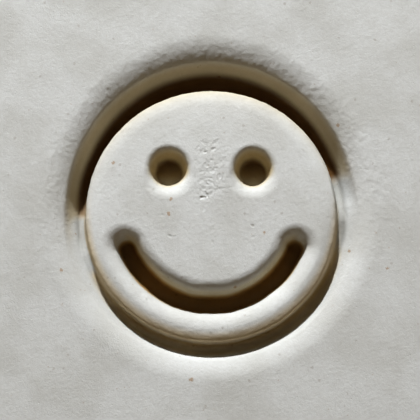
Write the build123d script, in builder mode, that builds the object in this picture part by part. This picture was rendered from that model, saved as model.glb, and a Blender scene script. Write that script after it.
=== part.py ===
from build123d import *
import math
import os

# Hand stamp for clay, standing on the flat end of its handle with its working face up.
# A square block of fired clay carries the sunk motif: a ring round a low disc, two round eyes
# and a plain curved mouth. The block lies on a cork pad on a beech mount, and a folded brass
# band nailed to the mount laps over the block's bevelled foot. The mount screws on to a steel
# stud that stands out of a turned beech handle.
# The origin is the centre of the handle's flat end, +Z points out of the working face, and
# the top of the motif is towards +Y. All sizes are in millimetres.

# Beech mount
MOUNT_SIDE = 64.0
MOUNT_THICKNESS = 16.0
MOUNT_CORNER_R = 6.0
COVE_R = 4.5
MOUNT_EDGE_R = 0.5

# Cork pad between the mount and the fired block
PAD_THICKNESS = 2.0
PAD_INSET = 0.3

# Fired-clay block
FOOT_INSET = 0.2
FOOT_HEIGHT = 5.0
FOOT_BEVEL = 1.4
BLOCK_HEIGHT = 13.0
BLOCK_DRAFT = 2.0
BLOCK_EDGE_R = 1.2

# Motif, sunk into the working face
DISC_R = 16.3
DISC_SINK = 0.15
SHOULDER_R = 1.5
DISC_WALL_DRAFT = 0.2
RING_FLOOR = 1.1
RING_DEPTH = 4.4
RING_ROOT_R = 0.4
RING_WALL_SLOPE = 60.0
LIP_ROLL_R = 6.0
LIP_ROLL_ANGLE = 30.0
LIP_TURN_R = 2.0
MOUTH_STRIP = 0.1
MOUTH_WIDTH = 3.6
MOUTH_HALF_ANGLE = 68.0
MOUTH_DEPTH = 4.0
MOUTH_TAPER = 12.0
MOUTH_LIP_R = 1.3
EYE_R = 2.6
EYE_X = 5.5
EYE_Y = 5.9
EYE_DEPTH = 3.9
EYE_TAPER = 15.0
EYE_LIP_R = 1.0
PIT_ROOT_R = 0.35

# Brass band and its nails
BAND_SHEET = 0.8
BAND_CLEARANCE = 0.1
BAND_ON_MOUNT = 5.4
BAND_LAP = 1.1
NAIL_R = 0.7
NAIL_LENGTH = 8.0
NAIL_POINT = 1.4
NAIL_HEAD_R = 1.6
NAIL_HEAD_HEIGHT = 0.9
NAIL_SPREAD = 40.0
NAIL_CLEARANCE = 0.05

# Brass tack in the mount's side below the motif
TACK_R = 0.8
TACK_LENGTH = 7.0
TACK_POINT = 1.6
TACK_HEAD_R = 2.1
TACK_HEAD_HEIGHT = 0.8

# Turned handle
HANDLE_LENGTH = 60.0
STAND_R = 16.0
STAND_ROUND = 2.0
STAND_ROLL = 60.0
BELLY_R = 21.5
BELLY_Z = 15.0
BELLY_CURVE_R = 17.0
BELLY_TURN = 51.0
NECK_BEAD = 3.0
NECK_BEAD_BULGE = 1.2
TURNED_LINES = 3
LINE_R = 0.45
LINE_PITCH = 2.6

# Brass ferrule round the top of the handle
FERRULE_LENGTH = 12.0
FERRULE_R = 14.0
FERRULE_WALL = 1.1
FERRULE_CLEARANCE = 0.05
FERRULE_BEAD = 2.2
FERRULE_BEAD_BULGE = 0.7
FERRULE_EDGE = 0.8

# Steel stud and the washer on it
STUD_R = 4.0
STUD_IN_HANDLE = 28.0
STUD_COLLAR = 5.0
STUD_WOOD_R = 3.4
STUD_TIP = 5.0
STUD_CHAMFER = 0.8
STUD_CLEARANCE = 0.07
STUD_HOLE_SPARE = 1.0
WASHER_LEDGE = 0.3
WASHER_THICKNESS = 1.5
WASHER_CLEARANCE = 0.25
WASHER_CHAMFER = 0.3

# Brass insert that the stud screws into
INSERT_R = 6.0
INSERT_LENGTH = 12.5
INSERT_FLANGE_R = 8.0
INSERT_FLANGE = 1.2
INSERT_GROOVES = 4
INSERT_GROOVE_WIDTH = 1.2
INSERT_GROOVE_DEPTH = 0.5
INSERT_CLEARANCE = 0.05
INSERT_MOUTH = 0.6
INSERT_HOLE_SPARE = 1.5

# How far a cut runs past the surface that it starts from
OVERRUN = 1.0

# Levels up the stamp
WASHER_Z = HANDLE_LENGTH
MOUNT_Z = WASHER_Z + WASHER_THICKNESS
PAD_Z = MOUNT_Z + MOUNT_THICKNESS
FOOT_Z = PAD_Z + PAD_THICKNESS
FACE_Z = FOOT_Z + BLOCK_HEIGHT
DISC_Z = FACE_Z - DISC_SINK
BAND_Z = PAD_Z - BAND_ON_MOUNT
NAIL_Z = BAND_Z + BAND_ON_MOUNT / 2
TACK_Z = (MOUNT_Z + COVE_R + BAND_Z) / 2

# Sides that follow from the mount's, and sizes that follow from the ferrule and the insert
FOOT_SIDE = MOUNT_SIDE - 2 * FOOT_INSET
FOOT_CORNER_R = MOUNT_CORNER_R - FOOT_INSET
BAND_SIDE = MOUNT_SIDE + 2 * BAND_CLEARANCE
BAND_CORNER_R = MOUNT_CORNER_R + BAND_CLEARANCE
BAND_OUT = BAND_SIDE / 2 + BAND_SHEET
TENON_R = FERRULE_R - FERRULE_WALL - FERRULE_CLEARANCE
WASHER_R = FERRULE_R + FERRULE_BEAD_BULGE + WASHER_LEDGE
STUD_STANDS_OUT = WASHER_THICKNESS + INSERT_LENGTH


def side_planes(reach, height, spread):
    """Planes that face out of the four sides, a pair on each, spread apart along the side."""
    planes = []
    for turn in range(4):
        side = Plane.XY.rotated((0, 0, 90 * turn))
        for shift in (-spread / 2, spread / 2):
            corner = side.x_dir * reach + side.y_dir * shift + Plane.XY.z_dir * height
            planes.append(Plane(origin=corner, x_dir=side.y_dir, z_dir=side.x_dir))
    return planes


def write_piece(piece, name):
    """Names a finished piece and writes it to its own file."""
    piece.label = name
    export_step(piece, f"parts/{name}.step")


os.makedirs("parts", exist_ok=True)

# Fired-clay block: a bevelled foot and a square head that tapers a little to the face
with BuildPart() as die_block:
    with BuildSketch(Plane.XY.offset(FOOT_Z)):
        RectangleRounded(FOOT_SIDE, FOOT_SIDE, FOOT_CORNER_R)
    extrude(amount=FOOT_HEIGHT + FOOT_BEVEL)
    chamfer(die_block.faces().sort_by(Axis.Z)[-1].edges(), FOOT_BEVEL)
    with BuildSketch(Plane.XY.offset(FOOT_Z + FOOT_HEIGHT + FOOT_BEVEL)):
        head_side = FOOT_SIDE - 2 * FOOT_BEVEL
        RectangleRounded(head_side, head_side, FOOT_CORNER_R - FOOT_BEVEL)
    extrude(amount=BLOCK_HEIGHT - FOOT_HEIGHT - FOOT_BEVEL, taper=BLOCK_DRAFT)
    fillet(die_block.faces().sort_by(Axis.Z)[-1].edges(), BLOCK_EDGE_R)

    # Ring and low disc, turned from one outline: the lip rolls and turns down into a sloped wall,
    # which meets the narrow floor, and the disc stands steep on the other side
    floor_in = DISC_R + DISC_WALL_DRAFT
    floor_out = floor_in + RING_FLOOR
    roll_angle, wall_slope = math.radians(LIP_ROLL_ANGLE), math.radians(RING_WALL_SLOPE)
    roll_drop = LIP_ROLL_R * (1 - math.cos(roll_angle))
    turn_drop = LIP_TURN_R * (math.cos(roll_angle) - math.cos(wall_slope))
    wall_run = (RING_DEPTH - roll_drop - turn_drop) / math.tan(wall_slope)
    turn_run = LIP_TURN_R * (math.sin(wall_slope) - math.sin(roll_angle))
    lip_r = floor_out + wall_run + turn_run + LIP_ROLL_R * math.sin(roll_angle)
    with BuildSketch(Plane.XZ):
        with BuildLine():
            lip_roll = JernArc((lip_r, FACE_Z), (-1, 0), LIP_ROLL_R, LIP_ROLL_ANGLE)
            turn_angle = RING_WALL_SLOPE - LIP_ROLL_ANGLE
            lip_turn = JernArc(lip_roll @ 1, lip_roll % 1, LIP_TURN_R, turn_angle)
            FilletPolyline(
                lip_turn @ 1,
                (floor_out, FACE_Z - RING_DEPTH),
                (floor_in, FACE_Z - RING_DEPTH),
                (DISC_R, DISC_Z - SHOULDER_R),
                radius=RING_ROOT_R,
            )
            shoulder = CenterArc((DISC_R - SHOULDER_R, DISC_Z - SHOULDER_R), SHOULDER_R, 0, 90)
            Polyline(
                shoulder @ 1,
                (0, DISC_Z),
                (0, FACE_Z + OVERRUN),
                (lip_r, FACE_Z + OVERRUN),
                (lip_r, FACE_Z),
            )
        make_face()
    revolve(axis=Axis.Z, mode=Mode.SUBTRACT)

    # Mouth, a slot of one width along an arc about the disc's own centre
    mouth_r = DISC_R - SHOULDER_R - MOUTH_STRIP - MOUTH_LIP_R - MOUTH_WIDTH / 2
    with BuildSketch(Plane.XY.offset(DISC_Z)):
        with BuildLine(mode=Mode.PRIVATE) as mouth_line:
            CenterArc((0, 0), mouth_r, -90 - MOUTH_HALF_ANGLE, 2 * MOUTH_HALF_ANGLE)
        SlotArc(mouth_line.line.edge(), MOUTH_WIDTH)
    extrude(amount=-MOUTH_DEPTH, taper=MOUTH_TAPER, mode=Mode.SUBTRACT)
    mouth_edges = die_block.edges(Select.LAST).group_by(Axis.Z)
    fillet(mouth_edges[0], PIT_ROOT_R)
    fillet(mouth_edges[-1], MOUTH_LIP_R)

    # Eyes, a pair of round pits
    with BuildSketch(Plane.XY.offset(DISC_Z)):
        with Locations((-EYE_X, EYE_Y), (EYE_X, EYE_Y)):
            Circle(EYE_R)
    extrude(amount=-EYE_DEPTH, taper=EYE_TAPER, mode=Mode.SUBTRACT)
    eye_edges = die_block.edges(Select.LAST).filter_by(GeomType.CIRCLE).group_by(Axis.Z)
    fillet(eye_edges[0], PIT_ROOT_R)
    fillet(eye_edges[-1], EYE_LIP_R)

# Cork pad, a little smaller than the mount so that the band clears it
with BuildPart() as cork_pad:
    with BuildSketch(Plane.XY.offset(PAD_Z)):
        pad_side = MOUNT_SIDE - 2 * PAD_INSET
        RectangleRounded(pad_side, pad_side, MOUNT_CORNER_R - PAD_INSET)
    extrude(amount=PAD_THICKNESS)

# Beech mount with a cove for the fingers cut all round its lower edge
with BuildPart() as mount:
    with BuildSketch(Plane.XY.offset(MOUNT_Z)):
        RectangleRounded(MOUNT_SIDE, MOUNT_SIDE, MOUNT_CORNER_R)
    extrude(amount=MOUNT_THICKNESS)
    underside = mount.faces().sort_by(Axis.Z)[0]
    with BuildSketch(Plane.XZ) as cove_shape:
        with Locations((MOUNT_SIDE / 2, MOUNT_Z)):
            Circle(COVE_R)
    sweep(path=underside.outer_wire(), mode=Mode.SUBTRACT)
    fillet(mount.faces().sort_by(Axis.Z)[0].outer_wire().edges(), MOUNT_EDGE_R)

    # Stepped hole for the threaded insert and the end of the stud beyond it
    with Locations(Plane(origin=(0, 0, MOUNT_Z), z_dir=(0, 0, -1))):
        CounterBoreHole(
            radius=INSERT_R + INSERT_CLEARANCE,
            counter_bore_radius=INSERT_FLANGE_R + INSERT_CLEARANCE,
            counter_bore_depth=INSERT_FLANGE,
            depth=INSERT_LENGTH + INSERT_HOLE_SPARE,
        )

    # Nail and tack holes
    with BuildSketch(*side_planes(BAND_OUT, NAIL_Z, NAIL_SPREAD)):
        Circle(NAIL_R + NAIL_CLEARANCE)
    extrude(amount=-NAIL_LENGTH - NAIL_CLEARANCE, mode=Mode.SUBTRACT)
    with BuildSketch(Plane(origin=(0, -MOUNT_SIDE / 2, TACK_Z), z_dir=(0, -1, 0))):
        Circle(TACK_R + NAIL_CLEARANCE)
    extrude(amount=-TACK_LENGTH - NAIL_CLEARANCE, mode=Mode.SUBTRACT)

# Brass band, one thickness of sheet round the mount and turned in over the block's bevel
with BuildPart() as retaining_band:
    fold_z = FOOT_Z + FOOT_HEIGHT - FOOT_INSET
    with BuildSketch(Plane.XY.offset(BAND_Z)):
        RectangleRounded(BAND_SIDE, BAND_SIDE, BAND_CORNER_R)
    extrude(amount=fold_z + BAND_LAP - BAND_Z)
    chamfer(retaining_band.faces().sort_by(Axis.Z)[-1].edges(), BAND_LAP)
    ends = retaining_band.faces().filter_by(Plane.XY)
    offset(amount=BAND_SHEET, openings=ends)
    with BuildSketch(*side_planes(BAND_OUT, NAIL_Z, NAIL_SPREAD)):
        Circle(NAIL_R + NAIL_CLEARANCE)
    extrude(amount=-BAND_SHEET - OVERRUN, mode=Mode.SUBTRACT)

# One round-headed nail, point down, and the eight of them through the band
with BuildPart() as nail:
    with BuildSketch(Plane.XZ):
        with BuildLine():
            Polyline(
                (0, NAIL_HEAD_HEIGHT),
                (0, -NAIL_LENGTH),
                (NAIL_R, NAIL_POINT - NAIL_LENGTH),
                (NAIL_R, 0),
                (NAIL_HEAD_R, 0),
            )
            TangentArc((0, NAIL_HEAD_HEIGHT), (NAIL_HEAD_R, 0), tangent=(1, 0))
        make_face()
    revolve(axis=Axis.Z)
with BuildPart() as band_nails:
    with Locations(*side_planes(BAND_OUT, NAIL_Z, NAIL_SPREAD)):
        add(nail.part)

# Tack that marks the side below the motif
with BuildPart() as index_tack:
    with BuildSketch(Plane(origin=(0, -MOUNT_SIDE / 2, TACK_Z), x_dir=(1, 0, 0), z_dir=(0, 0, 1))):
        with BuildLine():
            Polyline(
                (0, -TACK_HEAD_HEIGHT),
                (0, TACK_LENGTH),
                (TACK_R, TACK_LENGTH - TACK_POINT),
                (TACK_R, 0),
                (TACK_HEAD_R, 0),
            )
            TangentArc((0, -TACK_HEAD_HEIGHT), (TACK_HEAD_R, 0), tangent=(1, 0))
        make_face()
    revolve(axis=Axis(origin=(0, 0, TACK_Z), direction=(0, 1, 0)))

# Threaded insert, flush with the mount's underside, grooved to hold in the wood
with BuildPart() as threaded_insert:
    bore_r = STUD_R + STUD_CLEARANCE
    with BuildSketch(Plane.XZ):
        with BuildLine():
            Polyline(
                (bore_r + INSERT_MOUTH, MOUNT_Z),
                (INSERT_FLANGE_R, MOUNT_Z),
                (INSERT_FLANGE_R, MOUNT_Z + INSERT_FLANGE),
                (INSERT_R, MOUNT_Z + INSERT_FLANGE),
                (INSERT_R, MOUNT_Z + INSERT_LENGTH),
                (bore_r, MOUNT_Z + INSERT_LENGTH),
                (bore_r, MOUNT_Z + INSERT_MOUTH),
                close=True,
            )
        make_face()
        groove_pitch = (INSERT_LENGTH - INSERT_FLANGE) / INSERT_GROOVES
        for groove in range(INSERT_GROOVES):
            groove_z = MOUNT_Z + INSERT_FLANGE + (groove + 0.5) * groove_pitch
            with Locations((INSERT_R, groove_z)):
                Rectangle(2 * INSERT_GROOVE_DEPTH, INSERT_GROOVE_WIDTH, mode=Mode.SUBTRACT)
    revolve(axis=Axis.Z)

# Washer between the handle and the mount
with BuildPart() as washer:
    with BuildSketch(Plane.XY.offset(WASHER_Z)):
        Circle(WASHER_R)
        Circle(STUD_R + WASHER_CLEARANCE, mode=Mode.SUBTRACT)
    extrude(amount=WASHER_THICKNESS)
    chamfer(washer.edges().filter_by(GeomType.CIRCLE), WASHER_CHAMFER)

# Stud with a wood thread below and a machine thread above
with BuildPart() as stud:
    stud_foot_z = HANDLE_LENGTH - STUD_IN_HANDLE
    stud_top_z = HANDLE_LENGTH + STUD_STANDS_OUT
    with BuildSketch(Plane.XZ):
        with BuildLine():
            Polyline(
                (0, stud_foot_z),
                (STUD_WOOD_R, stud_foot_z + STUD_TIP),
                (STUD_WOOD_R, HANDLE_LENGTH - STUD_COLLAR - STUD_CHAMFER),
                (STUD_R, HANDLE_LENGTH - STUD_COLLAR),
                (STUD_R, stud_top_z - STUD_CHAMFER),
                (STUD_R - STUD_CHAMFER, stud_top_z),
                (0, stud_top_z),
                close=True,
            )
        make_face()
    revolve(axis=Axis.Z)

# Ferrule, a brass tube with a bead at each end, driven on to the handle's tenon
with BuildPart() as ferrule:
    ferrule_z = HANDLE_LENGTH - FERRULE_LENGTH
    with BuildSketch(Plane.XZ):
        with BuildLine():
            bead_starts = (ferrule_z + FERRULE_EDGE, HANDLE_LENGTH - FERRULE_EDGE - FERRULE_BEAD)
            Line((FERRULE_R, ferrule_z), (FERRULE_R, bead_starts[0]))
            for start in bead_starts:
                ThreePointArc(
                    (FERRULE_R, start),
                    (FERRULE_R + FERRULE_BEAD_BULGE, start + FERRULE_BEAD / 2),
                    (FERRULE_R, start + FERRULE_BEAD),
                )
            Line((FERRULE_R, bead_starts[0] + FERRULE_BEAD), (FERRULE_R, bead_starts[1]))
            Polyline(
                (FERRULE_R, bead_starts[1] + FERRULE_BEAD),
                (FERRULE_R, HANDLE_LENGTH),
                (FERRULE_R - FERRULE_WALL, HANDLE_LENGTH),
                (FERRULE_R - FERRULE_WALL, ferrule_z),
                (FERRULE_R, ferrule_z),
            )
        make_face()
    revolve(axis=Axis.Z)

# Turned handle: flat end to stand on, full belly, waist, bead and the tenon in the ferrule
with BuildPart() as handle:
    bead_z = HANDLE_LENGTH - FERRULE_LENGTH - NECK_BEAD
    with BuildSketch(Plane.XZ):
        with BuildLine():
            Polyline((0, HANDLE_LENGTH), (0, 0), (STAND_R, 0))
            stand_edge = JernArc((STAND_R, 0), (1, 0), STAND_ROUND, STAND_ROLL)
            TangentArc((BELLY_R, BELLY_Z), stand_edge @ 1, tangent=(0, -1))
            belly = JernArc((BELLY_R, BELLY_Z), (0, 1), BELLY_CURVE_R, BELLY_TURN)
            TangentArc(belly @ 1, (FERRULE_R, bead_z), tangent=belly % 1)
            ThreePointArc(
                (FERRULE_R, bead_z),
                (FERRULE_R + NECK_BEAD_BULGE, bead_z + NECK_BEAD / 2),
                (FERRULE_R, bead_z + NECK_BEAD),
            )
            Polyline(
                (FERRULE_R, bead_z + NECK_BEAD),
                (TENON_R, bead_z + NECK_BEAD),
                (TENON_R, HANDLE_LENGTH),
                (0, HANDLE_LENGTH),
            )
        make_face()

        # Fine lines turned round the belly
        for line in range(TURNED_LINES):
            line_z = BELLY_Z + (line - (TURNED_LINES - 1) / 2) * LINE_PITCH
            with Locations((BELLY_R, line_z)):
                Circle(LINE_R, mode=Mode.SUBTRACT)
    revolve(axis=Axis.Z)

    # Hole for the stud, wide at the mouth and narrower for its wood thread
    with Locations(Plane.XY.offset(HANDLE_LENGTH)):
        CounterBoreHole(
            radius=STUD_WOOD_R + STUD_CLEARANCE,
            counter_bore_radius=STUD_R + STUD_CLEARANCE,
            counter_bore_depth=STUD_COLLAR + STUD_CHAMFER,
            depth=STUD_IN_HANDLE + STUD_HOLE_SPARE,
        )

write_piece(handle.part, "handle")
write_piece(ferrule.part, "ferrule")
write_piece(stud.part, "stud")
write_piece(washer.part, "washer")
write_piece(threaded_insert.part, "threaded_insert")
write_piece(mount.part, "mount")
write_piece(index_tack.part, "index_tack")
write_piece(cork_pad.part, "cork_pad")
write_piece(die_block.part, "die_block")
write_piece(retaining_band.part, "retaining_band")
write_piece(band_nails.part, "band_nails")
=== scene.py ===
import math

import bpy
import numpy as np
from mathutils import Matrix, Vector


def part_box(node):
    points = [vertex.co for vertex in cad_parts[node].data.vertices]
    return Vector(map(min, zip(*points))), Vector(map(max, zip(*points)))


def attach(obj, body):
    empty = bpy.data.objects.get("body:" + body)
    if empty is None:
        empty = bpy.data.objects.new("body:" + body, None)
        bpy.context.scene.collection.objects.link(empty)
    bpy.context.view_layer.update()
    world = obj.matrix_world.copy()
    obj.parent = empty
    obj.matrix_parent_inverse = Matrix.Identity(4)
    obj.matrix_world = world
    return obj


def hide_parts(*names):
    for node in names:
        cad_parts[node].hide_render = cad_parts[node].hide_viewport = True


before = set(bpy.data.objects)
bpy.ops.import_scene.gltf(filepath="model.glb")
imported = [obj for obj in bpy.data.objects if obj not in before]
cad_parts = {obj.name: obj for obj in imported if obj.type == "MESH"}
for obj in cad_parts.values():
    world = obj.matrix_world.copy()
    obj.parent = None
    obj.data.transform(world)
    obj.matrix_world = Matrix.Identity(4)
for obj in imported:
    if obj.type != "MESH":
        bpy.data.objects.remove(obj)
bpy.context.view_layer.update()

# Looks of a hand stamp for clay, which stands on its handle with its working face up.
# Shape sizes are in millimetres as in the part's source, and are turned into metres where a mesh
# is made. Heights of the motif are counted from the working face, negative into the clay.

MM = 0.001

# Fired-clay block
FOOT_SIDE = 63.6
FOOT_CORNER_R = 5.8
FOOT_HEIGHT = 5.0
FOOT_BEVEL = 1.4
BLOCK_HEIGHT = 13.0
BLOCK_DRAFT = 2.0
BLOCK_EDGE_R = 1.2

# Disc and ring, whose lip is wider at the top of the motif than at the bottom
DISC_R = 16.35
DISC_LOW_BULGE, DISC_HIGH_BULGE = 0.45, 0.25
DISC_SINK = 0.30
DISC_TILT = 0.017
DISC_CROWN = 0.7
CROWN_START = 6.0
EDGE_ROLL_LOW, EDGE_ROLL_HIGH = 3.2, 4.0
EDGE_ROLL_ANGLE = 25.0
EDGE_TURN_LOW, EDGE_TURN_HIGH = 0.5, 0.8
DISC_WALL_DRAFT = 0.2
RING_DEPTH_LOW, RING_DEPTH_SIDE, RING_DEPTH_HIGH = 3.0, 5.0, 5.2
RING_ROOT_R = 0.4
RING_FLOOR_LEAST = 0.1
RING_WALL_SLOPE_LOW, RING_WALL_SLOPE_HIGH = 64.0, 68.0
LIP_REACH_LOW, LIP_REACH_HIGH = 22.1, 23.8
LIP_ROLL_LOW, LIP_ROLL_HIGH = 5.3, 6.2
LIP_ANGLE_LOW, LIP_ANGLE_HIGH = 31.0, 33.0
LIP_TURN_LOW, LIP_TURN_HIGH = 1.2, 0.8

# Two places beside the disc where the ring is shallower and its outer wall gentler: degrees round from
# +X, and the degrees over which each fades out above. Below they fade out more slowly.
SOFT_PLACES = ((-3.0, 11.0), (200.0, 18.0))
SOFT_WIDTH_BELOW = 40.0
SOFT_DEPTH = 2.2
SOFT_WALL_SLOPE = 42.0

# Places in the ring's floor where the key light falls, which the painted warm shade of the hollows leaves
# out: x, y and reach, and how many times that reach from the middle the painted shade is whole again
KEY_LIT_PLACES = (
    (17.5, 3.0, 1.5), (18.2, 0.2, 1.5), (19.0, -2.8, 1.7),
    (-16.9, -1.6, 1.0), (-16.7, -3.8, 1.1), (-16.2, -5.8, 1.2),
)
KEY_LIT_FADE = 2.2

# Specks in the clay: cells a millimetre, the value above which a cell has one, its colour, its reach in
# cells and its strength
SPECKS = (
    (0.42, 0.76, (158, 128, 94), 0.13, 0.7),
    (0.6, 0.70, (146, 136, 124), 0.13, 0.4),
    (1.1, 0.78, (170, 156, 140), 0.13, 0.6),
)
SPECK_BLUR = 0.04
SPECK_RAGGED = (-0.04, 0.05)

# Mouth and eyes, with rims that are rounder on the side below
MOUTH_R = 11.8
MOUTH_WIDTH = 3.4
MOUTH_HALF_ANGLE = 68.0
MOUTH_DEPTH = 4.0
MOUTH_TAPER = 12.0
MOUTH_LIP_R = 1.7
MOUTH_OUTER_LIP_R = 2.2
EYE_R = 2.6
EYE_X = 5.5
EYE_Y = 5.9
EYE_DEPTH = 3.7
EYE_FLOOR_SLOPE = 0.3
EYE_TAPER = 15.0
EYE_LIP_R = 1.0
EYE_LOWER_LIP_R = 2.0
PIT_ROOT_R = 0.5

# Stud thread
STUD_R = 4.0
STUD_WOOD_R = 3.4
STUD_IN_HANDLE = 28.0
STUD_COLLAR = 5.0
STUD_TIP = 5.0
STUD_POINT_SHARE = 0.08
STUD_POINT_R = 0.05
STUD_CHAMFER = 0.8
STUD_STANDS_OUT = 14.0
HANDLE_LENGTH = 60.0
THREAD_PITCH = 1.25
THREAD_DEPTH = 0.7
WOOD_THREAD_PITCH = 2.5
WOOD_THREAD_DEPTH = 0.9
THREAD_RUN_IN = 1.0
GROOVE_SHARE = 0.85
WOOD_GROOVE_SHARE = 0.35
GROOVE_FLAT = 1.15

# Unevenness of hand-pressed clay. A noise is a sum of parts, each its strength, cell size and seed.
PIT_WANDER = ((0.09, 2.6, 11), (0.03, 0.7, 12))
LUMPS = ((0.03, 7.0, 1), (0.015, 2.8, 2))
GRIT = ((0.006, 0.8, 3), (0.010, 0.36, 4))
EDGE_CHIPS = ((0.05, 0.8, 6), (0.03, 0.33, 7))
EDGE_CHIP_WIDTH = 0.9
EDGE_CHIP_SHARE = 0.6
LIP_GRAIN_R, LIP_GRAIN_WIDTH = 21.3, 1.9
LIP_GRAIN_RISE = 0.7
LIP_LUMPS_LOST = 0.7
LIP_GRIT_GAIN = 2.5
SURFACE_INSET = 0.05
TINY = 1e-9

# Crumpled skin down the brow, whose hollows are deeper than its ridges are high, and small tears there
# and on the cheeks
BROW_Y, BROW_HALF_WIDTH, BROW_HALF_HEIGHT = 5.6, 1.9, 3.6
CRUMPLE = ((1.0, 0.62, 13), (0.6, 0.27, 14))
CRUMPLE_DEPTH, CRUMPLE_BIAS = 0.05, 0.5
TEAR_SEED = 5
BROW_TEARS, CHEEK_TEARS = 16, 8
BROW_TEAR_SPREAD, BROW_TEAR_Y = 1.0, (2.0, 9.5)
CHEEK_TEAR_X, CHEEK_TEAR_Y = (-9, 9), (-5.5, 2.0)
TEAR_SIZE, TEAR_DEPTH = (0.14, 0.24), (0.03, 0.07)
TEAR_STRETCH = 1.7
TEAR_RIM = 1.3
TEAR_RAGGED = ((0.5, 0.25, 15),)

# How finely the clay and the stud are meshed: points round, spacing of the rings, and the number of steps
# in each stretch of the block from its underside to the disc
TURNS = 720
PIT_RING = 0.075
DISC_CENTRE_SHARE = 0.01
UNDERSIDE_SHARES, UNDERSIDE_STEPS = (0.05, 0.97), 8
FOOT_EDGE = 0.1
FOOT_STEPS, BEVEL_STEPS, SIDE_STEPS, CORNER_STEPS, FACE_STEPS = 10, 5, 21, 9, 32
LIP_STEPS, TURN_STEPS, WALL_STEPS, OUTER_ROOT_STEPS = 16, 8, 20, 4
FLOOR_STEPS, INNER_ROOT_STEPS, DISC_WALL_STEPS = 8, 5, 18
EDGE_TURN_STEPS, EDGE_ROLL_STEPS = 9, 19
STUD_TURNS = 72
STUD_RING = 0.12

# The clay's colours, and the tints of the shade painted over it in the hollows, on the rims and on the disc's
# edge, from 0 to 255
CLAY_PALE, CLAY_GREY, CLAY_GRAIN = (204, 205, 202), (190, 190, 185), (180, 178, 171)
# Painted shade: warm in the hollows, grey half-shade on the lit ring floor, warm on the shaded rims
HOLLOW_SHADE_TINT, LIT_FLOOR_SHADE_TINT, RIM_SHADE_TINT = (250, 236, 208), (194, 192, 188), (250, 236, 204)
# Painted shade: dark brown on the mouth's floor, near-black on the deepest floors, warm on the disc's lower
# edge
MOUTH_SHADE_TINT, DEEP_SHADE_TINT, EDGE_SHADE_TINT = (205, 172, 118), (120, 88, 50), (253, 232, 196)

# Where the painted shades come in or go out: ranges of Y, of depth below the face and of distance from the
# axis, or for the eyes' rims from the middle of the eye
UPPER_HALF_Y, UPPER_SHADE_DEPTH, LOWER_SHADE_DEPTH = (-7.0, -1.0), (0.7, 2.4), (1.9, 2.9)
LIP_FADE_R = (LIP_REACH_HIGH, LIP_REACH_HIGH + 2.5)
LIT_FLOOR_SHADE_FADE_R = (DISC_R + 1.0, DISC_R + 1.8)
DISC_FADE_R = (DISC_R - 0.8, DISC_R - 0.3)
PIT_SHADE_DEPTH, MOUTH_SHADE_Y = (2.2, 3.7), (-1.0, 1.5)
DEEP_SHADE_DEPTH = (RING_DEPTH_LOW + 0.05, RING_DEPTH_HIGH - 0.15)
MOUTH_RIM_Y, MOUTH_RIM_DEPTH, MOUTH_RIM_R = (-4.0, -1.0), (0.4, 1.6), (MOUTH_R - 0.8, MOUTH_R + 0.2)
EYE_RIM_Y, EYE_RIM_DEPTH, EYE_RIM_R = (EYE_Y - 1.5, EYE_Y), (0.5, 1.3), (EYE_R + 0.2, EYE_R + 1.2)
EDGE_Y, EDGE_START_R = (-4.0, 4.0), (DISC_R - 1.1, DISC_R + 0.2)
EDGE_FADE_R, PAST_EDGE_FADE_R = (DISC_R + 0.25, DISC_R + 0.5), (DISC_R + 0.6, DISC_R + 1.4)

# Wood: its colours, where the tree's pith lay, and the lines burnt round the handle as the height of the
# middle one, their pitch, their count and half their width
BEECH_PALE, BEECH_WARM, BEECH_STREAK = (208, 166, 118), (188, 140, 92), (168, 118, 74)
BEECH_FLECK, BEECH_PATCH, BEECH_BURNT = (128, 84, 50), (160, 112, 70), (70, 40, 22)
HANDLE_PITH, MOUNT_PITH = (38, 11, 0), (30, 8, 0)
BURNT_LINES = (15.0, 2.6, 3, 0.45)

# Metals: their bright and dull colours, least and most roughness, and the depth of their marks
BRASS = ((212, 182, 122), (168, 136, 84), (0.26, 0.44), 0.006)
STEEL = ((200, 200, 198), (150, 148, 144), (0.22, 0.36), 0.005)
MARK_STRETCH, TURNED_MARK_STRETCH, UPRIGHT_MARK_STRETCH = (0.2, 0.2, 5.0), (0.25, 0.25, 6.0), (4.0, 4.0, 0.3)

# Cork: its colours, and its granules a millimetre
CORK_PALE, CORK_DARK, CORK_SEAM, CORK_CRUMB = (196, 150, 102), (150, 104, 64), (84, 54, 34), (122, 82, 52)
CORK_GRANULES = 0.75

# Photograph's frame and light, in metres and radians
VIEW_WIDTH = 0.0546
CAMERA_DISTANCE = 0.32
CAMERA_LEAN = math.radians(9)
AIM_OFFSET = (-0.00013, 0.00033, 0)
KEY_RISE = math.radians(28)
KEY_SIDE = math.radians(10)
KEY_DISTANCE = 0.56
KEY_SIZE = 0.032
KEY_SHARE = 0.875
KEY_COLOUR = (0.97, 1.0, 1.04)
SIDE_LIGHT_DISTANCE = 1.0
SIDE_LIGHT_HEIGHT = 0.045
SIDE_LIGHT_WIDTH = 0.6
SIDE_LIGHT_TALL = 0.085
FILL_LOW = (0.34, 0.24, 0.12, 1)
FILL_OVERHEAD = (0.03, 0.02, 0.01, 1)
FILL_DIMS_OVER = (0.2, 0.75)
FLOOR_HALF = 0.65
FLOOR_PALE, FLOOR_DULL = (226, 225, 222), (219, 218, 215)

# Softboxes that light the sides: name, degrees round from the camera's side, and watts
SIDE_LIGHTS = (
    ("side_right", 35, 4.2), ("side_left", -35, 4.2),
    ("back_right", 125, 1.4), ("back_left", -125, 1.4),
)


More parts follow.
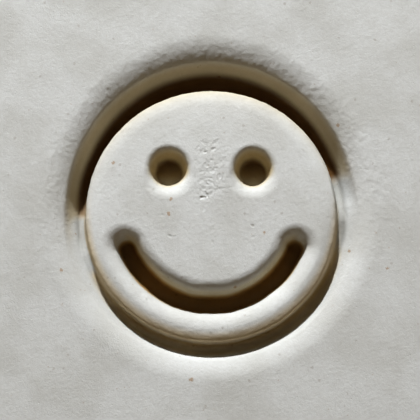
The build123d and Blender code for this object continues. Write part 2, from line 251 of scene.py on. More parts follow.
def smooth_noise(points, cell, seed):
    """Smooth random values from -1 to 1 at points in space, with a fresh value every cell."""
    size = 32
    table = np.random.default_rng(seed).uniform(-1, 1, (size, size, size))
    scaled = points / cell
    base = np.floor(scaled).astype(int)
    part = scaled - base
    part = part * part * (3 - 2 * part)
    total = np.zeros(points.shape[:-1])
    for corner in np.ndindex(2, 2, 2):
        index = (base + corner) % size
        weight = np.prod(np.where(corner, part, 1 - part), axis=-1)
        total += weight * table[index[..., 0], index[..., 1], index[..., 2]]
    return total


def mixed_noise(points, parts):
    """The sum of smooth noises, each given as its strength, cell size and seed."""
    return sum(strength * smooth_noise(points, cell, seed) for strength, cell, seed in parts)


def smooth_max(a, b, width):
    """The larger of two heights, rounded over a width where they meet."""
    blend = np.clip(0.5 + 0.5 * (a - b) / width, 0, 1)
    return b + (a - b) * blend + width * blend * (1 - blend)


def pit(distance, depth, taper, lip_r, root_r):
    """Height in a pit with a rounded rim, at a distance outwards from its edge line."""
    turn = math.radians(90 - taper)
    reach = lip_r * np.tan(turn / 2)
    inside = np.clip(reach - distance, 0, lip_r * math.sin(turn))
    rim = np.sqrt(lip_r**2 - inside**2) - lip_r
    wall = distance / math.tan(math.radians(taper))
    on_wall = reach - distance > lip_r * math.sin(turn)
    return smooth_max(np.where(on_wall, wall, rim), -depth + 0 * wall, root_r)


def mesh_object(name, rings, material, body, replaced):
    """A closed piece from rings of points, millimetres, each joined to the next and capped at both ends."""
    count = rings.shape[1]
    caps = [rings[0].mean(axis=0), rings[-1].mean(axis=0)]
    points = np.concatenate([rings.reshape(-1, 3), caps]) * MM
    corner = np.arange(count)
    after = (corner + 1) % count
    faces = []
    for ring in range(len(rings) - 1):
        low, high = ring * count, (ring + 1) * count
        faces += np.stack([low + corner, low + after, high + after, high + corner], axis=1).tolist()
    first_cap = rings.shape[0] * count
    last_ring = first_cap - count
    faces += [[first_cap, b, a] for a, b in zip(corner.tolist(), after.tolist())]
    faces += [[first_cap + 1, last_ring + a, last_ring + b] for a, b in zip(corner.tolist(), after.tolist())]
    mesh = bpy.data.meshes.new(name)
    mesh.from_pydata(points.tolist(), [], faces)
    mesh.polygons.foreach_set("use_smooth", np.ones(len(mesh.polygons), bool))
    mesh.materials.append(material)
    mesh.update()
    piece = bpy.data.objects.new(name, mesh)
    bpy.context.scene.collection.objects.link(piece)
    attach(piece, body)
    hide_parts(replaced)
    return piece


def rounded_square_reach(angle, half, corner_r):
    """How far a rounded square reaches from its centre at each angle."""
    x, y = np.abs(np.cos(angle)), np.abs(np.sin(angle))
    flat = half / np.maximum(x, y)
    inner = half - corner_r
    along = inner * (x + y)
    corner = along + np.sqrt(np.maximum(along**2 - 2 * inner**2 + corner_r**2, 0))
    on_corner = np.minimum(x, y) * flat > inner
    return np.where(on_corner, corner, flat)


# Clay block


def disc_height(radius, angle):
    """Height of the disc's top, which leans and falls away towards the top of the motif."""
    upward = np.sin(angle)
    crown = DISC_CROWN * np.maximum((radius - CROWN_START) / (DISC_R - CROWN_START), 0) ** 2
    return -DISC_SINK - DISC_TILT * radius * upward - crown * np.maximum(upward, 0)


def disc_edge(angle):
    """Radius of the disc's edge, radii of the small turn and the roll there, and where the roll begins."""
    low = np.maximum(-np.sin(angle), 0)
    edge = DISC_R + DISC_LOW_BULGE * low + DISC_HIGH_BULGE * np.maximum(np.sin(angle), 0)
    turn_r = EDGE_TURN_HIGH + (EDGE_TURN_LOW - EDGE_TURN_HIGH) * low
    roll_r = EDGE_ROLL_HIGH + (EDGE_ROLL_LOW - EDGE_ROLL_HIGH) * low
    roll = math.radians(EDGE_ROLL_ANGLE)
    start = edge - roll_r * math.sin(roll) - turn_r * (1 - math.sin(roll))
    return edge, turn_r, roll_r, start


def shoulder_steps(angle):
    """Radii and heights over the disc's edge: its small turn, then the roll in to its flat top."""
    edge, turn_r, roll_r, start = disc_edge(angle)
    roll = math.radians(EDGE_ROLL_ANGLE)
    roll_drop = roll_r * (1 - math.cos(roll))
    steps = []
    for bend in np.linspace(math.pi / 2, roll, EDGE_TURN_STEPS + 1):
        radius = edge - turn_r * (1 - math.sin(bend))
        drop = roll_drop + turn_r * (math.cos(roll) - math.cos(bend))
        steps.append((radius, disc_height(radius, angle) - drop))
    for bend in np.linspace(roll, 0, EDGE_ROLL_STEPS + 1)[1:]:
        radius = start + roll_r * math.sin(bend)
        steps.append((radius, disc_height(radius, angle) - roll_r * (1 - math.cos(bend))))
    return steps


def softness(angle):
    """How far each angle lies in a soft place, from 0 to 1 at the middle of one."""
    soft = 0 * angle
    for place, width_above in SOFT_PLACES:
        off = (np.degrees(angle) - place + 180) % 360 - 180
        above = np.sin(angle) > math.sin(math.radians(place))
        width = np.where(above, width_above, SOFT_WIDTH_BELOW)
        soft = np.maximum(soft, np.exp(-((off / width) ** 2)))
    return soft


def lip_profile(angle):
    """Radii and heights of the ring, from the lip's outer edge in to the disc's flat top."""
    upper_share = np.maximum(np.sin(angle), 0) ** 2

    def between(low, high):
        return low + (high - low) * upper_share

    level = 0 * angle
    reach = between(LIP_REACH_LOW, LIP_REACH_HIGH)
    roll_r = between(LIP_ROLL_LOW, LIP_ROLL_HIGH)
    turn_r = between(LIP_TURN_LOW, LIP_TURN_HIGH)
    roll = np.radians(between(LIP_ANGLE_LOW, LIP_ANGLE_HIGH))
    soft = softness(angle)
    slope = between(RING_WALL_SLOPE_LOW, RING_WALL_SLOPE_HIGH)
    slope = np.radians(slope + (SOFT_WALL_SLOPE - slope) * soft)
    low = np.maximum(-np.sin(angle), 0)
    depth = between(RING_DEPTH_SIDE, RING_DEPTH_HIGH) + (RING_DEPTH_LOW - RING_DEPTH_SIDE) * low
    depth = depth + (SOFT_DEPTH - depth) * soft
    turn_start = reach - roll_r * np.sin(roll)
    roll_z = roll_r * (np.cos(roll) - 1)
    wall_r = turn_start - turn_r * (np.sin(slope) - np.sin(roll))
    wall_z = roll_z - turn_r * (np.cos(roll) - np.cos(slope))
    shoulder = shoulder_steps(angle)
    floor_in = shoulder[0][0] + DISC_WALL_DRAFT
    floor_out = wall_r - (depth + wall_z) / np.tan(slope)
    root_out = RING_ROOT_R * np.tan(slope / 2)
    floor_out = np.maximum(floor_out, floor_in + RING_ROOT_R + root_out + RING_FLOOR_LEAST)
    steps = []

    def arc(count, centre_r, centre_z, radius, start, stop):
        """Steps along an arc, whose bend is measured up from the side of its centre away from the axis."""
        for t in np.linspace(0, 1, count + 1)[1:]:
            bend = start + t * (stop - start)
            steps.append((centre_r + radius * np.cos(bend) + level, centre_z + radius * np.sin(bend) + level))

    def line(count, radius, z):
        """Steps along a straight line from the last step."""
        from_r, from_z = steps[-1]
        for t in np.linspace(0, 1, count + 1)[1:]:
            steps.append((from_r + t * (radius - from_r), from_z + t * (z - from_z)))

    quarter = math.pi / 2
    steps.append((reach, level))
    arc(LIP_STEPS, reach, -roll_r, roll_r, quarter, quarter + roll)
    turn_centre = turn_start + turn_r * np.sin(roll)
    arc(TURN_STEPS, turn_centre, roll_z - turn_r * np.cos(roll), turn_r, quarter + roll, quarter + slope)
    line(WALL_STEPS, floor_out + root_out * np.cos(slope), root_out * np.sin(slope) - depth)
    root_centre = RING_ROOT_R - depth
    arc(OUTER_ROOT_STEPS, floor_out - root_out, root_centre, RING_ROOT_R, slope - quarter, -quarter)
    line(FLOOR_STEPS, floor_in + RING_ROOT_R + level, -depth)
    arc(INNER_ROOT_STEPS, floor_in + RING_ROOT_R, root_centre, RING_ROOT_R, -quarter, -2 * quarter)
    line(DISC_WALL_STEPS, *shoulder[0])
    return steps + shoulder[1:]


def block_rings():
    """Rings of the whole block, from its underside up the sides and in over the face to the motif."""
    angle = np.linspace(0, 2 * np.pi, TURNS, endpoint=False)
    rings = []

    def square(half, corner_r, z):
        rings.append((rounded_square_reach(angle, half, corner_r), z + 0 * angle))

    # Underside, foot and bevel
    half = FOOT_SIDE / 2
    for share in np.linspace(*UNDERSIDE_SHARES, UNDERSIDE_STEPS):
        square(half * share, FOOT_CORNER_R * share, -BLOCK_HEIGHT)
    square(half - FOOT_EDGE, FOOT_CORNER_R - FOOT_EDGE, -BLOCK_HEIGHT)
    for z in np.linspace(FOOT_EDGE, FOOT_HEIGHT, FOOT_STEPS):
        square(half, FOOT_CORNER_R, z - BLOCK_HEIGHT)
    for share in np.linspace(0, 1, BEVEL_STEPS + 1)[1:]:
        inset = share * FOOT_BEVEL
        square(half - inset, FOOT_CORNER_R - inset, FOOT_HEIGHT + inset - BLOCK_HEIGHT)

    # Drafted sides and the worn edge round the face
    side_foot = FOOT_HEIGHT + FOOT_BEVEL - BLOCK_HEIGHT
    lean = math.tan(math.radians(BLOCK_DRAFT))
    for z in np.linspace(side_foot, -BLOCK_EDGE_R, SIDE_STEPS + 1)[1:]:
        inset = FOOT_BEVEL + (z - side_foot) * lean
        square(half - inset, FOOT_CORNER_R - inset, z)
    for bend in np.linspace(0, np.pi / 2, CORNER_STEPS + 1)[1:]:
        curl = BLOCK_EDGE_R * (1 - np.cos(bend))
        square(half - inset - curl, FOOT_CORNER_R - inset - curl, -BLOCK_EDGE_R * (1 - np.sin(bend)))

    # Flat face, from the square edge in to the lip's circle
    ring_steps = lip_profile(angle)
    edge, lip = rings[-1][0], ring_steps[0][0]
    for share in np.linspace(0, 1, FACE_STEPS + 2)[1:-1]:
        rings.append((edge + (lip - edge) * share, 0 * angle))
    rings += ring_steps

    # Disc top, with rings close enough for the pits
    for share in np.linspace(1, DISC_CENTRE_SHARE, int(DISC_R / PIT_RING))[1:]:
        radius = disc_edge(angle)[-1] * share
        rings.append((radius, disc_height(radius, angle)))
    radius = np.array([r for r, z in rings])
    z = np.array([z for r, z in rings])
    return np.stack([radius * np.cos(angle), radius * np.sin(angle), z], axis=-1)


def sink_eyes(x, y, wander):
    """Heights of the two round eyes, whose floors rise towards the mouth."""
    sunk = np.zeros(x.shape)
    for side in (-1, 1):
        below = np.clip((EYE_Y - y) / EYE_R, 0, 1)
        lip_r = EYE_LIP_R + (EYE_LOWER_LIP_R - EYE_LIP_R) * below
        distance = np.hypot(x - side * EYE_X, y - EYE_Y) - EYE_R + wander
        depth = EYE_DEPTH + EYE_FLOOR_SLOPE * np.clip(y - EYE_Y, -EYE_R, EYE_R)
        sunk = np.minimum(sunk, pit(distance, depth, EYE_TAPER, lip_r, PIT_ROOT_R))
    return sunk


def sink_mouth(x, y, wander):
    """Heights of the mouth, an arc of one width with round ends."""
    radius = np.hypot(x, y)
    end = math.radians(MOUTH_HALF_ANGLE)
    end_x, end_y = MOUTH_R * math.sin(end), -MOUTH_R * math.cos(end)
    beside = np.abs(np.arctan2(x, -y)) < end
    from_line = np.where(beside, np.abs(radius - MOUTH_R), np.hypot(np.abs(x) - end_x, y - end_y))
    outside = np.clip((radius - MOUTH_R) / MOUTH_WIDTH + 0.5, 0, 1)
    lip_r = MOUTH_LIP_R + (MOUTH_OUTER_LIP_R - MOUTH_LIP_R) * outside
    distance = from_line - MOUTH_WIDTH / 2 + wander
    return pit(distance, MOUTH_DEPTH, MOUTH_TAPER, lip_r, PIT_ROOT_R)


def tear_depths(x, y, flat):
    """Depths of the crumpled skin down the brow, and of the small tears there and on the cheeks."""
    brow = np.exp(-((x / BROW_HALF_WIDTH) ** 2) - ((y - BROW_Y) / BROW_HALF_HEIGHT) ** 4)
    crumple = mixed_noise(flat, CRUMPLE)
    depths = CRUMPLE_DEPTH * (crumple + CRUMPLE_BIAS * np.abs(crumple)) * brow
    rng = np.random.default_rng(TEAR_SEED)
    places = [(rng.normal(0, BROW_TEAR_SPREAD), rng.uniform(*BROW_TEAR_Y)) for _ in range(BROW_TEARS)]
    places += [(rng.uniform(*CHEEK_TEAR_X), rng.uniform(*CHEEK_TEAR_Y)) for _ in range(CHEEK_TEARS)]
    ragged = mixed_noise(flat, TEAR_RAGGED)
    for centre_x, centre_y in places:
        size = rng.uniform(*TEAR_SIZE)
        deep = rng.uniform(*TEAR_DEPTH)
        lean = rng.uniform(0, math.pi)
        along = (x - centre_x) * math.cos(lean) + (y - centre_y) * math.sin(lean)
        across = (y - centre_y) * math.cos(lean) - (x - centre_x) * math.sin(lean)
        away = np.hypot(along / TEAR_STRETCH, across) / size + ragged
        depths = depths + deep * np.clip(TEAR_RIM - away, 0, 1)
    return depths


def sink_motif(points):
    """Heights to add inside the disc: two eyes, the mouth and the small tears of the dried clay."""
    x, y = points[..., 0], points[..., 1]
    flat = points * (1, 1, 0)
    wander = mixed_noise(flat, PIT_WANDER)
    pits = np.minimum(sink_eyes(x, y, wander), sink_mouth(x, y, wander))
    return pits - tear_depths(x, y, flat)


def roughen(points):
    """Moves the surface along its normals by a few hundredths, as hand-pressed clay is uneven."""
    down = np.gradient(points, axis=0)
    around = np.roll(points, -1, axis=1) - np.roll(points, 1, axis=1)
    normal = np.cross(around, down)
    normal /= np.maximum(np.linalg.norm(normal, axis=-1, keepdims=True), TINY)
    radius = np.hypot(points[..., 0], points[..., 1])
    upward = np.clip(points[..., 1] / np.maximum(radius, TINY) + LIP_GRAIN_RISE, 0, 1)
    on_lip = np.exp(-(((radius - LIP_GRAIN_R) / LIP_GRAIN_WIDTH) ** 2)) * upward
    on_edge = np.exp(-(((radius - DISC_R) / EDGE_CHIP_WIDTH) ** 2))
    lumps = mixed_noise(points, LUMPS) * (1 - LIP_LUMPS_LOST * on_lip)
    grit = mixed_noise(points, GRIT) * (1 + LIP_GRIT_GAIN * on_lip)
    chips = EDGE_CHIP_SHARE * mixed_noise(points, EDGE_CHIPS) * on_edge
    keep = np.clip((points[..., 2] + BLOCK_HEIGHT - FOOT_HEIGHT) / FOOT_BEVEL, 0, 1)
    return points + normal * ((lumps + grit + chips - SURFACE_INSET) * keep)[..., None]


def build_block(material):
    """The block with its sunk motif and uneven surface, moved up to where the solid one is."""
    rings = block_rings()
    rings[..., 2] += sink_motif(rings)
    rings = roughen(rings)
    rings[..., 2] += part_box("die_block")[1].z / MM
    return mesh_object("clay_block", rings, material, "head", "die_block")


# Threaded stud


def build_stud(material):
    """A wood thread below, a plain collar and a machine thread above, turned from rings up its axis."""
    angle = np.linspace(0, 2 * np.pi, STUD_TURNS, endpoint=False)
    foot = HANDLE_LENGTH - STUD_IN_HANDLE
    collar = HANDLE_LENGTH - STUD_COLLAR
    top = HANDLE_LENGTH + STUD_STANDS_OUT
    rings = []
    for z in np.linspace(foot, top, int((top - foot) / STUD_RING)):
        if z < collar - STUD_CHAMFER:
            wood_reach = min(STUD_WOOD_R, STUD_WOOD_R * (STUD_POINT_SHARE + (z - foot) / STUD_TIP))
            groove = groove_depth(z, angle, WOOD_THREAD_PITCH, WOOD_GROOVE_SHARE) * WOOD_THREAD_DEPTH
            radius = np.maximum(wood_reach - groove * wood_reach / STUD_WOOD_R, STUD_POINT_R)
        elif z < HANDLE_LENGTH - THREAD_RUN_IN:
            radius = STUD_R - np.clip(collar - z, 0, STUD_R - STUD_WOOD_R) + 0 * angle
        else:
            groove = groove_depth(z, angle, THREAD_PITCH, GROOVE_SHARE) * THREAD_DEPTH
            radius = np.minimum(STUD_R - groove, STUD_R - STUD_CHAMFER + top - z)
        rings.append(np.stack([radius * np.cos(angle), radius * np.sin(angle), z + 0 * angle], axis=-1))
    return mesh_object("threaded_stud", np.array(rings), material, "handle", "stud")


def groove_depth(z, angle, pitch, share):
    """Depth from 0 to 1 of a right-hand thread's groove, which takes a share of each pitch."""
    phase = (z / pitch - angle / (2 * np.pi)) % 1
    return np.clip((1 - np.abs(phase - 0.5) * 2 - (1 - share)) / share * GROOVE_FLAT, 0, 1)


# Material nodes


class Paint:
    """A material's node tree with short calls for the nodes used here."""

    def __init__(self, name):
        self.material = bpy.data.materials.new(name)
        self.material.use_nodes = True
        self.nodes = self.material.node_tree.nodes
        self.links = self.material.node_tree.links
        self.shader = self.nodes["Principled BSDF"]
        coordinates = self.nodes.new("ShaderNodeTexCoord")
        scaled = self.nodes.new("ShaderNodeVectorMath")
        scaled.operation = "SCALE"
        scaled.inputs["Scale"].default_value = 1 / MM
        self.links.new(coordinates.outputs["Object"], scaled.inputs[0])
        self.place = scaled.outputs[0]

    def plug(self, value, socket):
        """Links an input to another node's output, or sets it to a plain value."""
        if isinstance(value, bpy.types.NodeSocket):
            self.links.new(value, socket)
        else:
            socket.default_value = value

    def shift(self, stretch, offset=(0, 0, 0), turn=(0, 0, 0)):
        """Millimetre coordinates, moved, turned and stretched."""
        node = self.nodes.new("ShaderNodeMapping")
        self.links.new(self.place, node.inputs["Vector"])
        node.inputs["Location"].default_value = offset
        node.inputs["Rotation"].default_value = turn
        node.inputs["Scale"].default_value = stretch
        return node.outputs[0]

    def noise(self, scale, detail=2.0, rough=0.5, where=None):
        """Cloudy values from 0 to 1, with so many clouds a millimetre."""
        node = self.nodes.new("ShaderNodeTexNoise")
        self.links.new(where or self.place, node.inputs["Vector"])
        node.inputs["Scale"].default_value = scale
        node.inputs["Detail"].default_value = detail
        node.inputs["Roughness"].default_value = rough
        return node.outputs["Fac"]

    def cells(self, scale, where=None, feature="F1"):
        """Outputs of cells about scattered points, so many a millimetre."""
        node = self.nodes.new("ShaderNodeTexVoronoi")
        node.feature = feature
        self.links.new(where or self.place, node.inputs["Vector"])
        node.inputs["Scale"].default_value = scale
        return node.outputs

    def rings(self, scale, where, twist):
        """Uneven rings about Z, as in a tree's trunk."""
        node = self.nodes.new("ShaderNodeTexWave")
        node.wave_type = "RINGS"
        node.rings_direction = "Z"
        node.wave_profile = "SAW"
        self.links.new(where, node.inputs["Vector"])
        node.inputs["Scale"].default_value = scale
        node.inputs["Distortion"].default_value = twist
        node.inputs["Detail"].default_value = 2.0
        node.inputs["Detail Scale"].default_value = 0.6
        return node.outputs["Fac"]

    def spread(self, value, low, high, to_low=0.0, to_high=1.0):
        """Goes smoothly from to_low to to_high as a value goes from low to high."""
        node = self.nodes.new("ShaderNodeMapRange")
        node.interpolation_type = "SMOOTHSTEP"
        for name, number in zip(("Value", "From Min", "From Max", "To Min", "To Max"),
                                (value, low, high, to_low, to_high)):
            self.plug(number, node.inputs[name])
        return node.outputs[0]

    def maths(self, kind, a, b=0.0):
        """One operation of a Math node on one or two values."""
        node = self.nodes.new("ShaderNodeMath")
        node.operation = kind
        self.plug(a, node.inputs[0])
        self.plug(b, node.inputs[1])
        return node.outputs[0]

    def product(self, first, *others):
        for value in others:
            first = self.maths("MULTIPLY", first, value)
        return first

    def fade(self, value, low, high):
        """1 up to low, and from there smoothly down to 0 at high."""
        return self.spread(value, low, high, 1.0, 0.0)

    def mix(self, share, a, b, kind="MIX"):
        """Colour a with a share of b over it."""
        node = self.nodes.new("ShaderNodeMix")
        node.data_type = "RGBA"
        node.blend_type = kind
        self.plug(share, node.inputs["Factor"])
        self.plug(a, node.inputs[6])
        self.plug(b, node.inputs[7])
        return node.outputs[2]

    def axis(self, name):
        """The millimetre coordinate named X, Y or Z."""
        node = self.nodes.new("ShaderNodeSeparateXYZ")
        self.links.new(self.place, node.inputs[0])
        return node.outputs[name]

    def bump(self, height, distance):
        """Height from 0 to 1 over a distance in millimetres."""
        node = self.nodes.new("ShaderNodeBump")
        node.inputs["Strength"].default_value = 1.0
        node.inputs["Distance"].default_value = distance * MM
        self.plug(height, node.inputs["Height"])
        if self.shader.inputs["Normal"].is_linked:
            self.links.new(self.shader.inputs["Normal"].links[0].from_socket, node.inputs["Normal"])
        self.links.new(node.outputs[0], self.shader.inputs["Normal"])

    def finish(self, colour, roughness, metallic=0.0, gloss=0.5):
        """Sets the shader and gives the whole material."""
        self.plug(colour, self.shader.inputs["Base Color"])
        self.plug(roughness, self.shader.inputs["Roughness"])
        self.shader.inputs["Metallic"].default_value = metallic
        self.shader.inputs["Specular IOR Level"].default_value = gloss
        return self.material


def srgb(red, green, blue):
    """A colour given in 0 to 255 as a node colour."""
    parts = [c / 255 for c in (red, green, blue)]
    return tuple(c / 12.92 if c < 0.04045 else ((c + 0.055) / 1.055) ** 2.4 for c in parts) + (1.0,)


def distance_from(p, x, y):
    """Distance in plan from an upright line."""
    across = p.maths("SUBTRACT", p.axis("X"), x)
    along = p.maths("SUBTRACT", p.axis("Y"), y)
    squares = p.maths("ADD", p.maths("MULTIPLY", across, across), p.maths("MULTIPLY", along, along))
    return p.maths("SQRT", squares)


def shade_masks(p, depth, from_axis):
    """Shares from 0 to 1 of painted shade: warm shade in the hollows and a dark shadow on the deepest floors,
    both left out where the key light falls; grey half-shade where it falls near the disc; and the share it
    leaves in shade.
    """
    shaded = 1.0
    for x, y, reach in KEY_LIT_PLACES:
        shaded = p.product(shaded, p.spread(distance_from(p, x, y), reach, reach * KEY_LIT_FADE))
    inside = p.fade(from_axis, *LIP_FADE_R)
    # Painted warm shade in the hollows, from a shallower depth in the upper half, where the light does not
    # reach
    upper = p.product(p.spread(p.axis("Y"), *UPPER_HALF_Y), p.spread(depth, *UPPER_SHADE_DEPTH))
    hollow_shade = p.product(inside, p.maths("MAXIMUM", upper, p.spread(depth, *LOWER_SHADE_DEPTH)))
    # Painted grey half-shade on the ring floor near the disc, where the key light falls
    lit_floor_shade = p.product(hollow_shade, p.maths("SUBTRACT", 1.0, shaded), p.fade(from_axis, *LIT_FLOOR_SHADE_FADE_R))
    # Painted near-black shadow on the deepest floors, left out where the key light falls
    deep = p.product(inside, shaded, p.spread(depth, *DEEP_SHADE_DEPTH))
    return p.product(hollow_shade, shaded), lit_floor_shade, deep, shaded


def rim_shade_mask(p, depth, from_axis):
    """Share from 0 to 1 of the warm shade painted on the shaded rims of the mouth and the eyes."""
    mouth = p.product(p.fade(p.axis("Y"), *MOUTH_RIM_Y), p.spread(depth, *MOUTH_RIM_DEPTH))
    mouth = p.product(mouth, p.fade(from_axis, *MOUTH_RIM_R))
    eyes = 0.0
    for side in (-1, 1):
        eyes = p.maths("MAXIMUM", eyes, p.fade(distance_from(p, side * EYE_X, EYE_Y), *EYE_RIM_R))
    eyes = p.product(eyes, p.spread(p.axis("Y"), *EYE_RIM_Y), p.spread(depth, *EYE_RIM_DEPTH))
    return p.maths("MAXIMUM", mouth, eyes)


def edge_shade_mask(p, from_axis, shaded):
    """Share from 0 to 1 of the warm shade painted on the disc's lower edge and what lies just past it."""
    on_edge = p.product(p.spread(from_axis, *EDGE_START_R), p.fade(p.axis("Y"), *EDGE_Y))
    past_edge = p.product(shaded, p.fade(from_axis, *PAST_EDGE_FADE_R))
    return p.product(on_edge, p.maths("MAXIMUM", past_edge, p.fade(from_axis, *EDGE_FADE_R)))


def add_specks(p, colour):
    """Brown and grey specks over a colour, few and uneven."""
    ragged = p.spread(p.noise(5.0, detail=3.0, rough=0.7), 0.3, 0.7, *SPECK_RAGGED)
    for scale, low, tint, size, strength in SPECKS:
        spots = p.cells(scale)
        chosen = p.maths("GREATER_THAN", spots["Color"], low)
        near = p.maths("ADD", spots["Distance"], ragged)
        share = p.product(chosen, p.spread(near, size - SPECK_BLUR, size, strength, 0.0))
        colour = p.mix(share, colour, srgb(*tint))
    return colour


def clay_material():
    """Pale fired clay: soft mottling, fine grain, sparse specks, smoother in the hollows, with warm and dark
    shade painted into the hollows and warm shade painted onto the rims and the disc's lower edge.
    """
    p = Paint("fired_clay")
    depth = p.maths("SUBTRACT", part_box("die_block")[1].z / MM, p.axis("Z"))
    from_axis = distance_from(p, 0, 0)
    hollow_shade, lit_floor_shade, deep, shaded = shade_masks(p, depth, from_axis)
    # Painted dark brown shade on the deep floor of the mouth
    mouth_shade = p.product(p.fade(from_axis, *DISC_FADE_R), p.spread(depth, *PIT_SHADE_DEPTH))
    mouth_shade = p.product(mouth_shade, p.fade(p.axis("Y"), *MOUTH_SHADE_Y))

    mottling = p.spread(p.noise(0.11, detail=4.0, rough=0.6), 0.36, 0.66)
    colour = p.mix(mottling, srgb(*CLAY_PALE), srgb(*CLAY_GREY))
    grain = p.noise(2.6, detail=4.0, rough=0.7)
    colour = p.mix(p.spread(grain, 0.3, 0.7, to_high=0.3), colour, srgb(*CLAY_GRAIN))
    colour = add_specks(p, colour)
    # Lay the painted shades over the clay's own colour
    for mask, tint in (
        (hollow_shade, HOLLOW_SHADE_TINT), (lit_floor_shade, LIT_FLOOR_SHADE_TINT), (rim_shade_mask(p, depth, from_axis), RIM_SHADE_TINT),
        (mouth_shade, MOUTH_SHADE_TINT), (deep, DEEP_SHADE_TINT), (edge_shade_mask(p, from_axis, shaded), EDGE_SHADE_TINT),
    ):
        colour = p.mix(mask, colour, srgb(*tint), "MULTIPLY")

    rough_skin = p.spread(hollow_shade, 0.0, 1.0, to_low=1.0, to_high=0.2)
    fine_grain = p.noise(7.0, detail=3.0, rough=0.7)
    pores = p.spread(p.cells(1.3)["Distance"], 0.0, 0.16)
    p.bump(p.product(grain, rough_skin), distance=0.05)
    p.bump(p.product(fine_grain, rough_skin), distance=0.02)
    p.bump(pores, distance=0.02)
    roughness = p.spread(p.noise(0.6), 0.3, 0.7, to_low=0.82, to_high=0.95)
    return p.finish(colour, roughness, gloss=0.2)


def burn_lines(p, colour, middle, pitch, count, half_width):
    """Dark lines burnt round a piece at even heights."""
    height = p.maths("ABSOLUTE", p.maths("SUBTRACT", p.axis("Z"), middle))
    nearest = p.maths("PINGPONG", height, pitch / 2)
    line = p.spread(nearest, half_width * 0.7, half_width * 1.2, to_low=0.8, to_high=0.0)
    burnt = p.product(line, p.maths("LESS_THAN", height, pitch * count / 2))
    return p.mix(burnt, colour, srgb(*BEECH_BURNT))


def wood_material(name, turn, pith, burnt_lines=None):
    """Oiled beech, its grain along Z after the turn, with rings about a far-off pith and short flecks."""
    p = Paint(name)
    along = p.shift((1.0, 1.0, 0.05), pith, turn)
    fine = p.shift((1.0, 1.0, 0.03), pith, turn)
    year = p.rings(0.055, along, twist=2.2)
    colour = p.mix(p.spread(year, 0.1, 1.0), srgb(*BEECH_PALE), srgb(*BEECH_WARM))
    streaks = p.spread(p.noise(0.9, detail=5.0, rough=0.65, where=fine), 0.35, 0.75, to_high=0.6)
    colour = p.mix(streaks, colour, srgb(*BEECH_STREAK))
    fleck = p.cells(1.25, p.shift((1.0, 0.9, 0.22), pith, turn))
    chosen = p.maths("GREATER_THAN", fleck["Color"], 0.55)
    flecks = p.product(chosen, p.spread(fleck["Distance"], 0.05, 0.2, to_low=0.7, to_high=0.0))
    colour = p.mix(flecks, colour, srgb(*BEECH_FLECK))
    patches = p.spread(p.noise(0.07, detail=3.0), 0.35, 0.7, to_high=0.3)
    colour = p.mix(patches, colour, srgb(*BEECH_PATCH))
    if burnt_lines:
        colour = burn_lines(p, colour, *burnt_lines)
    p.bump(p.noise(1.6, detail=4.0, rough=0.6, where=fine), distance=0.03)
    p.bump(p.spread(fleck["Distance"], 0.0, 0.2), distance=0.015)
    roughness = p.spread(p.noise(0.5, detail=3.0), 0.3, 0.7, to_low=0.38, to_high=0.55)
    return p.finish(colour, roughness, gloss=0.4)


def metal_material(name, bright, dull, roughness, mark_depth, stretch):
    """A worn metal with stains, fine level marks and weaker upright ones."""
    p = Paint(name)
    stains = p.spread(p.noise(0.16, detail=4.0, rough=0.65), 0.38, 0.72)
    colour = p.mix(stains, srgb(*bright), srgb(*dull))
    marks = p.noise(1.0, detail=5.0, rough=0.7, where=p.shift(stretch))
    upright = p.noise(1.0, detail=4.0, rough=0.7, where=p.shift(UPRIGHT_MARK_STRETCH))
    colour = p.mix(p.spread(marks, 0.35, 0.75, to_high=0.25), colour, srgb(*dull))
    p.bump(marks, mark_depth)
    p.bump(upright, mark_depth * 0.5)
    worn = p.spread(p.noise(0.3, detail=4.0, rough=0.6), 0.3, 0.75, *roughness)
    rough = p.maths("ADD", worn, p.spread(marks, 0.4, 0.8, to_high=0.1))
    return p.finish(colour, rough, metallic=1.0)


def cork_material():
    """Pressed cork: granules of uneven browns with dark seams between them."""
    p = Paint("cork")
    tone = p.mix(p.cells(CORK_GRANULES)["Color"], srgb(*CORK_PALE), srgb(*CORK_DARK))
    from_seam = p.cells(CORK_GRANULES, feature="DISTANCE_TO_EDGE")["Distance"]
    colour = p.mix(p.spread(from_seam, 0.02, 0.12, to_low=0.75, to_high=0.0), tone, srgb(*CORK_SEAM))
    crumbs = p.spread(p.noise(4.0, detail=3.0), 0.4, 0.7, to_high=0.4)
    colour = p.mix(crumbs, colour, srgb(*CORK_CRUMB))
    p.bump(p.spread(from_seam, 0.0, 0.15), distance=0.08)
    return p.finish(colour, p.spread(p.noise(2.0), 0.3, 0.7, to_low=0.8, to_high=0.95), gloss=0.3)


def dress(node, material):
    """Gives a carried-over solid its material and leaves its mesh as it is."""
    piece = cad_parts[node]
    if not piece.material_slots:
        piece.data.materials.append(material)
    for place in piece.material_slots:
        place.material = material


# Studio


def strip_light(name, azimuth, power):
    """A softbox that faces the stamp's axis from below the working face and lights the sides alone."""
    light = bpy.data.lights.new(name, "AREA")
    light.shape = "RECTANGLE"
    light.size, light.size_y = SIDE_LIGHT_WIDTH, SIDE_LIGHT_TALL
    light.energy = power
    lamp = bpy.data.objects.new(name, light)
    away = Vector((math.sin(azimuth), -math.cos(azimuth), 0))
    lamp.location = away * SIDE_LIGHT_DISTANCE + Vector((0, 0, SIDE_LIGHT_HEIGHT))
    lamp.rotation_euler = (-away).to_track_quat("-Z", "Y").to_euler()
    lamp.visible_camera = False
    bpy.context.scene.collection.objects.link(lamp)


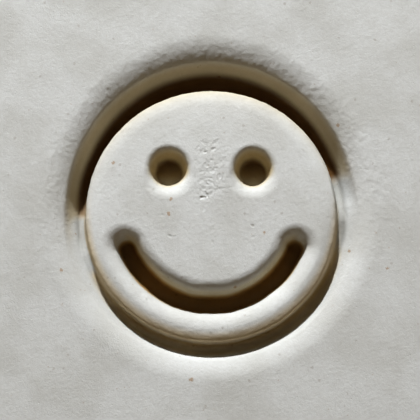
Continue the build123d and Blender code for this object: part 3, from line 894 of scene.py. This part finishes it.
def key_light(target):
    """The one hard light of the photograph: low, from the top of the motif and a little to its left."""
    away = Vector((
        -math.sin(KEY_SIDE) * math.cos(KEY_RISE),
        math.cos(KEY_SIDE) * math.cos(KEY_RISE),
        math.sin(KEY_RISE),
    ))
    light = bpy.data.lights.new("key", "AREA")
    light.shape = "DISK"
    light.size = KEY_SIZE
    light.color = KEY_COLOUR
    light.energy = KEY_SHARE * math.pi**2 * KEY_DISTANCE**2 / math.sin(KEY_RISE)
    lamp = bpy.data.objects.new("key", light)
    lamp.location = target + away * KEY_DISTANCE
    lamp.rotation_euler = (-away).to_track_quat("-Z", "Y").to_euler()
    lamp.visible_camera = False
    bpy.context.scene.collection.objects.link(lamp)


def sky():
    """Low warm light, dimmer overhead than at the horizon, and plain white to the camera, gloss and glass."""
    world = bpy.data.worlds.new("studio")
    bpy.context.scene.world = world
    world.use_nodes = True
    nodes, links = world.node_tree.nodes, world.node_tree.links
    direction = nodes.new("ShaderNodeTexCoord")
    parts = nodes.new("ShaderNodeSeparateXYZ")
    links.new(direction.outputs["Generated"], parts.inputs[0])
    height = nodes.new("ShaderNodeMapRange")
    height.interpolation_type = "SMOOTHSTEP"
    height.inputs["From Min"].default_value = FILL_DIMS_OVER[0]
    height.inputs["From Max"].default_value = FILL_DIMS_OVER[1]
    links.new(parts.outputs["Z"], height.inputs["Value"])
    tone = nodes.new("ShaderNodeMix")
    tone.data_type = "RGBA"
    tone.inputs[6].default_value = FILL_LOW
    tone.inputs[7].default_value = FILL_OVERHEAD
    links.new(height.outputs[0], tone.inputs["Factor"])
    fill = nodes["Background"]
    fill.inputs["Strength"].default_value = 1.0
    links.new(tone.outputs[2], fill.inputs["Color"])
    white = nodes.new("ShaderNodeBackground")
    white.inputs["Color"].default_value = (1, 1, 1, 1)
    path = nodes.new("ShaderNodeLightPath")
    seen = path.outputs["Is Camera Ray"]
    for ray in ("Is Glossy Ray", "Is Transmission Ray"):
        either = nodes.new("ShaderNodeMath")
        either.operation = "MAXIMUM"
        links.new(seen, either.inputs[0])
        links.new(path.outputs[ray], either.inputs[1])
        seen = either.outputs[0]
    mix = nodes.new("ShaderNodeMixShader")
    links.new(seen, mix.inputs[0])
    links.new(fill.outputs[0], mix.inputs[1])
    links.new(white.outputs[0], mix.inputs[2])
    links.new(mix.outputs[0], nodes["World Output"].inputs["Surface"])


def floor():
    """A matt pale ground, wide enough for the stamp's shadow."""
    half = FLOOR_HALF
    corners = [(-half, -half, 0), (half, -half, 0), (half, half, 0), (-half, half, 0)]
    mesh = bpy.data.meshes.new("floor")
    mesh.from_pydata(corners, [], [(0, 1, 2, 3)])
    p = Paint("floor")
    colour = p.mix(p.noise(0.01, 2.0), srgb(*FLOOR_PALE), srgb(*FLOOR_DULL))
    mesh.materials.append(p.finish(colour, roughness=0.9, gloss=0.1))
    plane = bpy.data.objects.new("floor", mesh)
    bpy.context.scene.collection.objects.link(plane)


def camera(target):
    """A long lens over the face, leaning a little to the side below the motif."""
    lens = bpy.data.cameras.new("camera")
    lens.lens = lens.sensor_width * CAMERA_DISTANCE / VIEW_WIDTH
    view = bpy.data.objects.new("camera", lens)
    back = Vector((0, -math.sin(CAMERA_LEAN), math.cos(CAMERA_LEAN)))
    aim = target + Vector(AIM_OFFSET)
    view.location = aim + back * CAMERA_DISTANCE
    view.rotation_euler = (-back).to_track_quat("-Z", "Y").to_euler()
    bpy.context.scene.collection.objects.link(view)
    bpy.context.scene.camera = view


# The scene

face_centre = Vector((0, 0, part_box("die_block")[1].z))

clay = clay_material()
handle_wood = wood_material("beech_handle", (0, 0, 0), HANDLE_PITH, BURNT_LINES)
mount_wood = wood_material("beech_mount", (0, math.radians(90), 0), MOUNT_PITH)
brass = metal_material("brass", *BRASS, MARK_STRETCH)
steel = metal_material("steel", *STEEL, TURNED_MARK_STRETCH)
cork = cork_material()

for node, material in (
    ("handle", handle_wood), ("mount", mount_wood), ("ferrule", brass), ("threaded_insert", brass),
    ("index_tack", brass), ("retaining_band", brass), ("band_nails", brass), ("washer", steel),
    ("cork_pad", cork),
):
    dress(node, material)

build_block(clay)
build_stud(steel)

floor()
sky()
key_light(face_centre)
for name, azimuth, power in SIDE_LIGHTS:
    strip_light(name, math.radians(azimuth), power)
camera(face_centre)
bpy.context.scene.view_settings.view_transform = "Standard"
